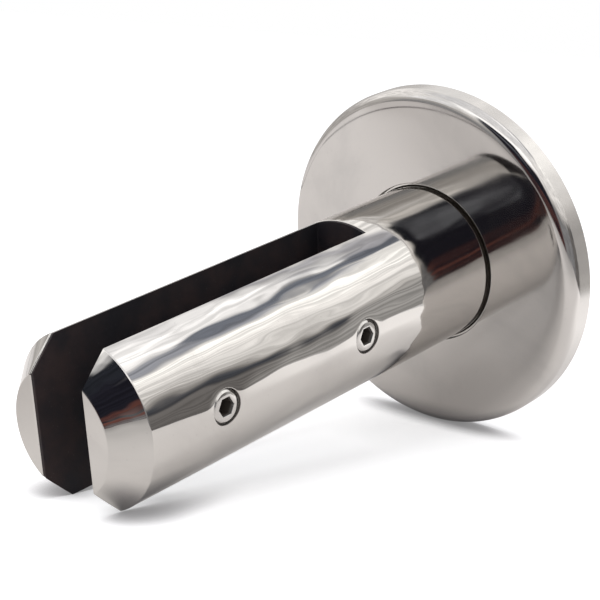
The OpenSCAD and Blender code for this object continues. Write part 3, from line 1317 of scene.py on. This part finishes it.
MIRROR = Steel(
    name="mirror steel",
    clean=(0.62, 0.60, 0.575),
    filmed=(0.55, 0.53, 0.51),
    rough=0.035,
    film_rough=0.05,
    wave_height=0.0011,
    wave_along=16.0,
    wave_across=56.0,
    line_height=0.0000006,
    line_scale=2500.0,
    lay=Lay.LENGTHWISE,
    hollow_shade=HOLLOW_SHADE_TONE,
    calm=0.85,
)
PRESSED = Steel(
    name="pressed mirror steel",
    clean=(0.60, 0.58, 0.56),
    filmed=(0.53, 0.515, 0.50),
    rough=0.07,
    film_rough=0.05,
    wave_height=0.00006,
    wave_along=25.0,
    wave_across=25.0,
    line_height=0.0000006,
    line_scale=2500.0,
    lay=Lay.ROUND,
    hollow_shade=HOLLOW_SHADE_TONE,
    brushed_rough=0.11,
)
ROLLED = Steel(
    name="rolled plate steel",
    clean=(0.50, 0.49, 0.48),
    filmed=(0.40, 0.39, 0.38),
    rough=0.28,
    film_rough=0.12,
    wave_height=0.00001,
    wave_along=20.0,
    wave_across=60.0,
    line_height=0.000004,
    line_scale=3500.0,
    lay=Lay.LENGTHWISE,
)
TURNED = Steel(
    name="turned screw steel",
    clean=(0.60, 0.585, 0.565),
    filmed=(0.42, 0.40, 0.38),
    rough=0.12,
    film_rough=0.12,
    wave_height=0.00001,
    wave_along=60.0,
    wave_across=60.0,
    line_height=0.000003,
    line_scale=5000.0,
    lay=Lay.ROUND,
    hollow_shade=HOLLOW_SHADE_TONE,
)
LINER = Rubber("liner rubber", (0.010, 0.009, 0.0125), (0.031, 0.019, 0.019), 0.62)
PAD = Rubber("pad rubber", (0.010, 0.010, 0.0105), (0.018, 0.017, 0.017), 0.66)


# ---------------------------------------------------------------- studio


@dataclass(frozen=True)
class Region:
    """A part of the room that the gloss shows.

    It has a middle azimuth, half a width, a low and a high elevation and a softness, all in
    degrees, and a colour. Azimuth 0 is the camera's side and 90 its right.
    """

    middle: float
    half: float
    low: float
    high: float
    soft: float
    tone: Colour

    @staticmethod
    def mask() -> bpy.types.NodeTree:
        """Builds the group that every region uses.

        Returns:
            A group that gives Mask, 1 inside the region and 0 outside it.
        """
        turn, wide = {"Azimuth": 0.0, "Middle": 0.0}, {"Half width": 20.0, "Softness": 6.0}
        tall = {"Elevation": 0.0, "Low": 0.0, "High": 30.0}
        t, i, o = group("Surroundings region", {**turn, **wide, **tall}, ["Mask"])
        off = t.math("WRAP", t.math("SUBTRACT", i["Azimuth"], i["Middle"]), 180.0, -180.0)
        beside = t.math("SUBTRACT", t.math("ABSOLUTE", off), i["Half width"])
        over = t.math("SUBTRACT", i["Elevation"], i["High"])
        under = t.math("SUBTRACT", i["Low"], i["Elevation"])
        worst = t.math("MAXIMUM", beside, t.math("MAXIMUM", over, under))
        t.tree.links.new(t.span(t.math("DIVIDE", worst, i["Softness"]), 1.0, -1.0), o["Mask"])
        return t.tree

    def inputs(self, azimuth: bpy.types.NodeSocket, height: bpy.types.NodeSocket) -> dict:
        """The group's inputs for this region.

        Args:
            azimuth: a ray's azimuth in degrees.
            height: its elevation in degrees.

        Returns:
            The inputs by name.
        """
        where = {"Azimuth": azimuth, "Elevation": height}
        size = {"Middle": self.middle, "Half width": self.half, "Low": self.low, "High": self.high}
        return {**where, **size, "Softness": self.soft}


# The room's lights and dark parts, from the bottom layer to the top
ROOM = [
    Region(105.0, 32.0, 38.0, 50.0, 4.0, (1.60, 1.59, 1.56)),
    Region(122.0, 24.0, 58.0, 72.0, 2.5, (1.60, 1.60, 1.62)),
    Region(-25.0, 48.0, 38.0, 56.0, 3.0, (1.80, 1.80, 1.80)),
    Region(104.0, 9.0, 50.0, 56.5, 1.2, (0.44, 0.46, 0.52)),
    Region(125.0, 14.0, 52.0, 57.0, 1.2, (0.23, 0.25, 0.30)),
    Region(156.0, 22.0, 54.0, 57.4, 2.0, (0.52, 0.52, 0.56)),
    Region(34.5, 32.5, -30.0, 16.0, 5.0, (0.30, 0.30, 0.31)),
    Region(98.0, 6.0, -30.0, 16.0, 3.0, (0.48, 0.47, 0.46)),
    Region(78.0, 16.0, -30.0, 18.0, 3.0, (0.20, 0.19, 0.185)),
    Region(90.5, 3.2, 11.5, 16.0, 1.5, (0.08, 0.085, 0.10)),
    Region(-75.5, 11.0, 21.0, 50.0, 3.0, (1.25, 1.25, 1.26)),
    Region(-66.0, 18.0, -30.0, 8.0, 4.0, (0.38, 0.38, 0.385)),
    Region(-31.0, 17.0, 20.0, 43.0, 2.5, (0.026, 0.029, 0.038)),
    Region(-21.5, 27.0, -30.0, 32.0, 3.5, (0.018, 0.018, 0.027)),
]
# Two parts that noise breaks up: a pale one whose elevation leans, and a warm one
CLOUD = Region(-35.0, 15.0, 12.0, 19.0, 4.0, (0.34, 0.36, 0.40))
CLOUD_LEAN = 0.3
WARM = Region(-19.0, 26.0, -30.0, 6.0, 2.0, (0.185, 0.074, 0.06))

# The room behind its regions, and the elevations over which one tone becomes the next
WALLS: Colour = (0.62, 0.60, 0.58)
CEILING: Colour = (1.26, 1.24, 1.22)
CEILING_FROM: Span = (13.0, 33.0)
OVERHEAD: Colour = (1.12, 1.12, 1.14)
OVERHEAD_FROM: Span = (48.0, 64.0)
UNDERFOOT: Colour = (0.85, 0.84, 0.83)
UNDERFOOT_FROM: Span = (-24.0, -30.0)
MATT_LIGHT: Colour = (0.80, 0.80, 0.82)


@dataclass(frozen=True)
class Studio:
    """Camera, floor, lamp and surroundings, in metres.

    The spigot lies on its -X side on the floor, on its cover's rim and its jaws' lower edges,
    while its own frame stays upright, so the floor is the slanting plane through those edges.
    In the gloss the pale floor is a sheet that ends a little way in front and to the right of
    the rim's contact, with the room beyond it and a seam to the left.
    """

    camera_place: tuple[float, float, float] = (0.1817, -0.3190, 0.4249)
    camera_right: tuple[float, float, float] = (-0.0613, -0.7570, -0.6506)
    camera_down: tuple[float, float, float] = (-0.9366, -0.1817, 0.2996)
    lens: float = 103.96
    rim_contact: tuple[float, float, float] = (-0.05543, 0.0, 0.0070)
    head_contact: tuple[float, float, float] = (-0.02315, 0.0, 0.1566)
    middle: tuple[float, float, float] = (0.0, 0.0, 0.08)
    floor_half: float = 3.0
    floor_pale: Colour = (0.80, 0.80, 0.81)
    floor_paler: Colour = (0.83, 0.83, 0.835)
    floor_glow: float = 0.53  # to the camera
    sheet_tone: Colour = (0.835, 0.805, 0.78)
    sheet_glow: float = 0.10
    sheet_front: float = 0.36
    sheet_side: float = 0.27
    seam: float = 0.38
    line_tone: Colour = (0.30, 0.29, 0.285)
    line_edge: Span = (0.020, 0.008)
    # painted shade: the floor in the gloss darker far in front
    far_painted_shade: Colour = (0.33, 0.32, 0.31)
    far_from: Span = (0.12, 0.24)
    far_share: float = 0.6
    farther_from: Span = (0.24, 0.36)
    # painted shadow at the left and painted light at the right of the floor, in the gloss
    left_painted_shadow: float = -0.26
    left_ahead: Span = (0.025, 0.07)
    left_beside: Span = (-0.12, -0.18)
    right_painted_light: float = 0.40
    right_ahead: Span = (0.12, 0.04)
    right_beside: Span = (0.05, 0.13)
    # painted contact shadow where something nearly touches the floor
    contact_shadow_tone: Colour = (0.36, 0.35, 0.36)
    contact_shadow_reach: float = 0.012
    contact_shadow_open: Span = (0.3, 0.9)
    contact_shadow_glow: float = 0.35

    def axes(self) -> tuple[Vector, Vector, Vector]:
        """The room's directions.

        Returns:
            The floor's upward normal, and level directions to the camera's side and its right.
        """
        run = (Vector(self.head_contact) - Vector(self.rim_contact)).normalized()
        up = Vector((0, 1, 0)).cross(run)
        up = up if up.x > 0 else -up
        ahead = Vector(self.camera_right).cross(Vector(self.camera_down))
        toward = -(ahead - ahead.dot(up) * up).normalized()
        return up, toward, up.cross(toward)

    def camera(self) -> None:
        """Places the camera from its right and down directions."""
        right, down = Vector(self.camera_right).normalized(), Vector(self.camera_down)
        back = right.cross(-(down - down.dot(right) * right).normalized())
        turn = Matrix((right, back.cross(right), back)).transposed().to_4x4()
        data = bpy.data.cameras.new("view")
        data.lens, data.sensor_width = self.lens, 36.0
        data.clip_start, data.clip_end = 0.01, 20.0
        cam = bpy.data.objects.new("view", data)
        cam.matrix_world = Matrix.Translation(self.camera_place) @ turn
        bpy.context.scene.collection.objects.link(cam)
        bpy.context.scene.camera = cam

    def floor(self) -> None:
        """A wide pale floor: the plane c + u toward + v side through the rim's contact."""
        up, toward, side = self.axes()
        n = 13
        u = np.linspace(-self.floor_half, self.floor_half, n)[:, None]
        along, beside = u[:, None] * np.array(toward), u[None] * np.array(side.normalized())
        grid = np.array(Vector(self.rim_contact)) + along + beside
        mesh = bpy.data.meshes.new("floor")
        faces = quads(np.arange(n * n).reshape(n, n)).reshape(-1, 4)
        mesh.from_pydata(grid.reshape(-1, 3).tolist(), [], faces.tolist())
        mesh.update()
        if mesh.polygons[0].normal.dot(up) < 0:
            mesh.flip_normals()
        mesh.materials.append(self.floor_finish())
        obj = bpy.data.objects.new("floor", mesh)
        bpy.context.scene.collection.objects.link(obj)

    def floor_finish(self) -> bpy.types.Material:
        """The floor's material.

        It is pale, with a painted contact shadow where something nearly touches it. In the gloss it
        is the warmer sheet, with painted shade far in front, a painted shadow at the left and
        painted light at the right, and a dark line at the seam and at its right edge. It is clear
        to the camera from behind, so that it hides nothing, and in the gloss beyond the sheet's
        edges.

        Returns:
            The material.
        """
        centre, (_, toward, side) = Vector(self.rim_contact), self.axes()
        m = bpy.data.materials.new("pale floor")
        t = Tree.of(m)
        path = t.add("LightPath").outputs
        here = t.add("TexCoord").outputs["Object"]
        gloss, seen = path["Is Glossy Ray"], path["Is Camera Ray"]
        ahead, beside = (
            t.math("SUBTRACT", t.vector("DOT_PRODUCT", here, tuple(v), out=1), centre.dot(v))
            for v in (toward, side.normalized())
        )
        # painted contact shadow: darker and glowing less where something nearly touches the floor
        contact_shadow = t.add("AmbientOcclusion", {"Distance": self.contact_shadow_reach}).outputs["AO"]

        tone = t.mix(t.noise(here, 9.0, 3.0), self.floor_pale, self.floor_paler)
        tone = t.mix(gloss, tone, self.sheet_tone)
        # painted shade far in front, in the gloss
        farther = t.span(ahead, *self.farther_from, 0.0, 1 - self.far_share)
        far = t.math("MULTIPLY_ADD", t.span(ahead, *self.far_from), self.far_share, farther)
        tone = t.mix(t.math("MULTIPLY", far, gloss), tone, self.far_painted_shade)
        seam = t.math("ABSOLUTE", t.math("ADD", beside, self.seam))
        edge = t.math("ABSOLUTE", t.math("SUBTRACT", beside, self.sheet_side))
        line = t.span(t.math("MINIMUM", seam, edge), *self.line_edge)
        tone = t.mix(t.math("MULTIPLY", line, gloss), tone, self.line_tone)
        tone = t.mix(t.span(contact_shadow, *self.contact_shadow_open[::-1]), tone, self.contact_shadow_tone)

        # painted shadow at the left and painted light at the right, in the gloss
        lift: object = self.sheet_glow
        for along, across, amount in (
            (self.left_ahead, self.left_beside, self.left_painted_shadow),
            (self.right_ahead, self.right_beside, self.right_painted_light),
        ):
            patch = t.math("MULTIPLY", t.span(ahead, *along), t.span(beside, *across))
            lift = t.math("MULTIPLY_ADD", patch, amount, lift)
        glow = t.math("MULTIPLY_ADD", gloss, lift, t.math("MULTIPLY", seen, self.floor_glow))
        glow = t.math("MULTIPLY", glow, t.span(contact_shadow, *self.contact_shadow_open, self.contact_shadow_glow, 1.0))

        past_front = t.math("SUBTRACT", ahead, self.sheet_front)
        past_side = t.math("SUBTRACT", beside, self.sheet_side)
        beyond = t.span(t.math("MAXIMUM", past_front, past_side), 0.0, 0.02)
        behind = t.math("MULTIPLY", t.add("NewGeometry").outputs["Backfacing"], seen)
        clear = t.math("MAXIMUM", behind, t.math("MULTIPLY", beyond, gloss))

        lit = t.add("BsdfDiffuse", {"Color": tone}).outputs[0]
        glowing = t.add("Emission", {"Color": (1, 1, 1, 1), "Strength": glow}).outputs[0]
        both = t.add("AddShader", {0: lit, 1: glowing}).outputs[0]
        nothing = t.add("BsdfTransparent").outputs[0]
        surface = t.add("MixShader", {0: clear, 1: both, 2: nothing}).outputs[0]
        t.add("OutputMaterial", {"Surface": surface})
        return m

    def direction(self, t: Tree) -> tuple[bpy.types.NodeSocket, bpy.types.NodeSocket]:
        """A ray's direction, wavering a little, so that the room's edges do too.

        Args:
            t: the world's tree.

        Returns:
            Its azimuth and elevation, in degrees.
        """
        ray = t.add("TexCoord").outputs["Generated"]
        for scale, amount in ((3.0, 0.09), (14.0, 0.035)):
            noise = {"Vector": ray, "Scale": scale, "Detail": 2.0}
            wobble = t.add("TexNoise", noise).outputs["Color"]
            wobble = t.vector("SUBTRACT", wobble, (0.5, 0.5, 0.5))
            scaled = t.add("VectorMath", {0: wobble, "Scale": amount}, operation="SCALE")
            ray = t.vector("ADD", ray, scaled.outputs[0])
        ray = t.vector("NORMALIZE", ray)
        rise, near, right = (t.vector("DOT_PRODUCT", ray, tuple(v), out=1) for v in self.axes())
        azimuth = t.math("MULTIPLY", t.math("ARCTAN2", right, near), math.degrees(1))
        return azimuth, t.math("MULTIPLY", t.math("ARCSINE", rise), math.degrees(1))

    def room(self, t: Tree) -> bpy.types.NodeSocket:
        """The room's colour in a ray's direction: a ceiling that fades down, and its regions.

        Args:
            t: the world's tree.

        Returns:
            The colour.
        """
        azimuth, height = self.direction(t)
        part = Region.mask()
        colour = t.mix(t.span(height, *CEILING_FROM), WALLS, CEILING)
        colour = t.mix(t.span(height, *OVERHEAD_FROM), colour, OVERHEAD)
        for region in ROOM:
            colour = t.mix(t.use(part, region.inputs(azimuth, height))[0], colour, region.tone)
        tilt = t.math("MULTIPLY_ADD", azimuth, 0.04, t.math("MULTIPLY", height, 0.30))
        bands = t.xyz(t.math("MULTIPLY", azimuth, 0.05), tilt)
        leaning = t.math("MULTIPLY_ADD", azimuth, CLOUD_LEAN, height)
        patches = (
            (CLOUD, leaning, t.span(t.noise(bands, 0.8, 1.0), 0.30, 0.66)),
            (WARM, height, t.span(t.noise(bands, 1.0, 3.0, 0.6), 0.40, 0.62)),
        )
        for region, level, patch in patches:
            mask = t.math("MULTIPLY", t.use(part, region.inputs(azimuth, level))[0], patch)
            colour = t.mix(mask, colour, region.tone)
        colour = t.mix(t.span(height, *UNDERFOOT_FROM), colour, UNDERFOOT)
        depth = t.span(t.noise(bands, 1.5, 2.0, 0.55), 0.34, 0.66, 0.74, 1.20)
        return t.vector("MULTIPLY", colour, t.xyz(depth, depth, depth))

    def surroundings(self) -> None:
        """White to the camera, an even pale light on matt surfaces, and a room in the gloss."""
        world = bpy.data.worlds.new("studio")
        bpy.context.scene.world = world
        t = Tree.of(world)
        room = self.room(t)
        path = t.add("LightPath").outputs
        mirrored = t.math("MAXIMUM", path["Is Glossy Ray"], path["Is Transmission Ray"])
        tone = t.mix(mirrored, MATT_LIGHT, room)
        tone = t.mix(path["Is Camera Ray"], tone, (1.0, 1.0, 1.0))
        shader = t.add("Background", {"Color": tone, "Strength": 1.0})
        t.add("OutputWorld", {"Surface": shader.outputs[0]})

    def lamp(
        self, azimuth: float, elevation: float, distance: float, size: float, watts: float
    ) -> None:
        """A soft square lamp aimed at the spigot, which the gloss doesn't show.

        Args:
            azimuth: its direction in the room, in degrees.
            elevation: its direction above the floor, in degrees.
            distance: how far it is from the spigot.
            size: its side.
            watts: its power.
        """
        up, toward, side = self.axes()
        a, e = math.radians(azimuth), math.radians(elevation)
        way = up * math.sin(e) + (toward * math.cos(a) + side * math.sin(a)) * math.cos(e)
        data = bpy.data.lights.new("softbox", "AREA")
        data.shape, data.size, data.energy = "SQUARE", size, watts
        obj = bpy.data.objects.new("softbox", data)
        turn = way.to_track_quat("Z", "Y").to_matrix().to_4x4()
        obj.matrix_world = Matrix.Translation(Vector(self.middle) + way * distance) @ turn
        obj.visible_glossy = False
        obj.visible_camera = False
        bpy.context.scene.collection.objects.link(obj)

    def build(self) -> None:
        """Sets up the whole studio."""
        self.camera()
        self.floor()
        self.surroundings()
        self.lamp(azimuth=-50, elevation=60, distance=1.2, size=0.9, watts=6.0)
        bpy.context.scene.view_settings.view_transform = "Standard"


# ---------------------------------------------------------------- build


def main() -> None:
    """Builds and dresses every piece, then the studio round them."""
    logging.basicConfig(level=logging.INFO, format="%(name)s: %(message)s")
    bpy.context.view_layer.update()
    fx, post = Effects(), Post()
    settle(post.build(MIRROR.make(fx)), "spigot", "spigot_body")
    settle(Cover().build(PRESSED.make(fx)), "cover", "base_cover")
    settle(Liner(post).build(LINER.make(fx)), "spigot", "slot_liner")
    bright = TURNED.make(fx)
    for place in ("lower", "upper"):
        screw = GrubScrew(f"grub_screw_{place}")
        piece = screw.build(f"threaded_screw_{place}", bright)
        settle(piece, f"{place}_screw", screw.node)
    for node, finish in (("pressure_plate", ROLLED), ("pressure_pad", PAD)):
        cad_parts[node].data.materials.clear()
        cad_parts[node].data.materials.append(finish.make(fx))
        LOG.info("%s keeps its CAD form in %s", node, finish.name)
    Studio().build()


if __name__ == "__main__":
    main()
